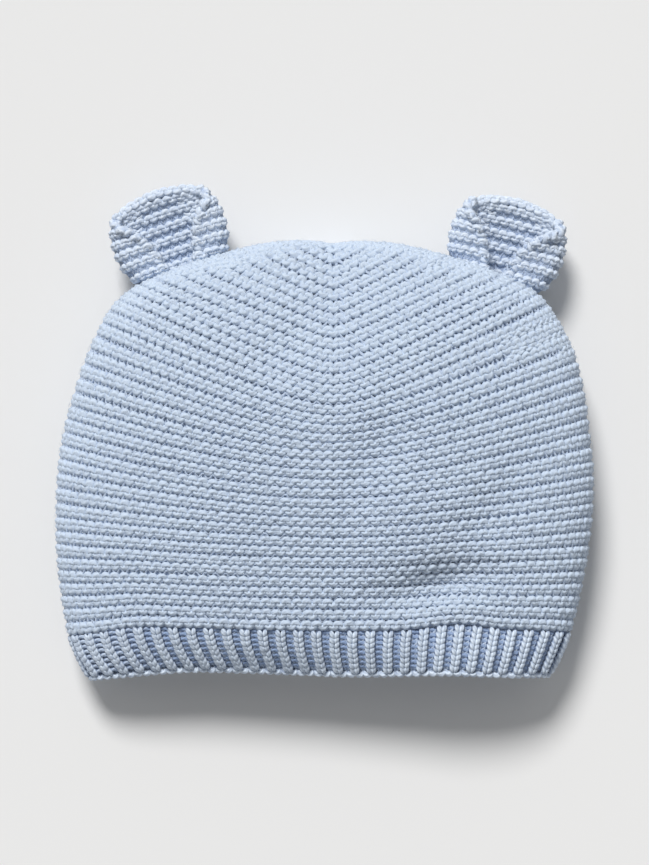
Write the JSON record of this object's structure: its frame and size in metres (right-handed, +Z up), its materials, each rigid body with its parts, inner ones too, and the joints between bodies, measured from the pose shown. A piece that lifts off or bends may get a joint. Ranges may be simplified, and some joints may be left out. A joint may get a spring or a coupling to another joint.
{
  "type": "baby hat with ears",
  "caption": "Knitted baby hat in garter stitch with a ribbed brim and round curled ears, lying flat on its back with its head opening at the bottom edge.",
  "frame": {"origin": "middle of the hat's own box, on the surface that the hat's back lies on", "axes": "+Z up out of the hat's front, -Y towards the head opening, +Y towards the ears, +X to the right as seen from above"},
  "size_m": [0.183, 0.1682, 0.0429],
  "materials": {
    "crown_knit": "soft pale blue garter stitch with a faint matt fuzz",
    "brim_knit": "soft pale blue knit and purl ribbing, matt",
    "ear_knit": "soft pale blue garter stitch, matt"
  },
  "bodies": {
    "root": {"crown": "crown_knit", "brim": "brim_knit", "ear_left": "ear_knit", "ear_right": "ear_knit"}
  },
  "joints": []
}
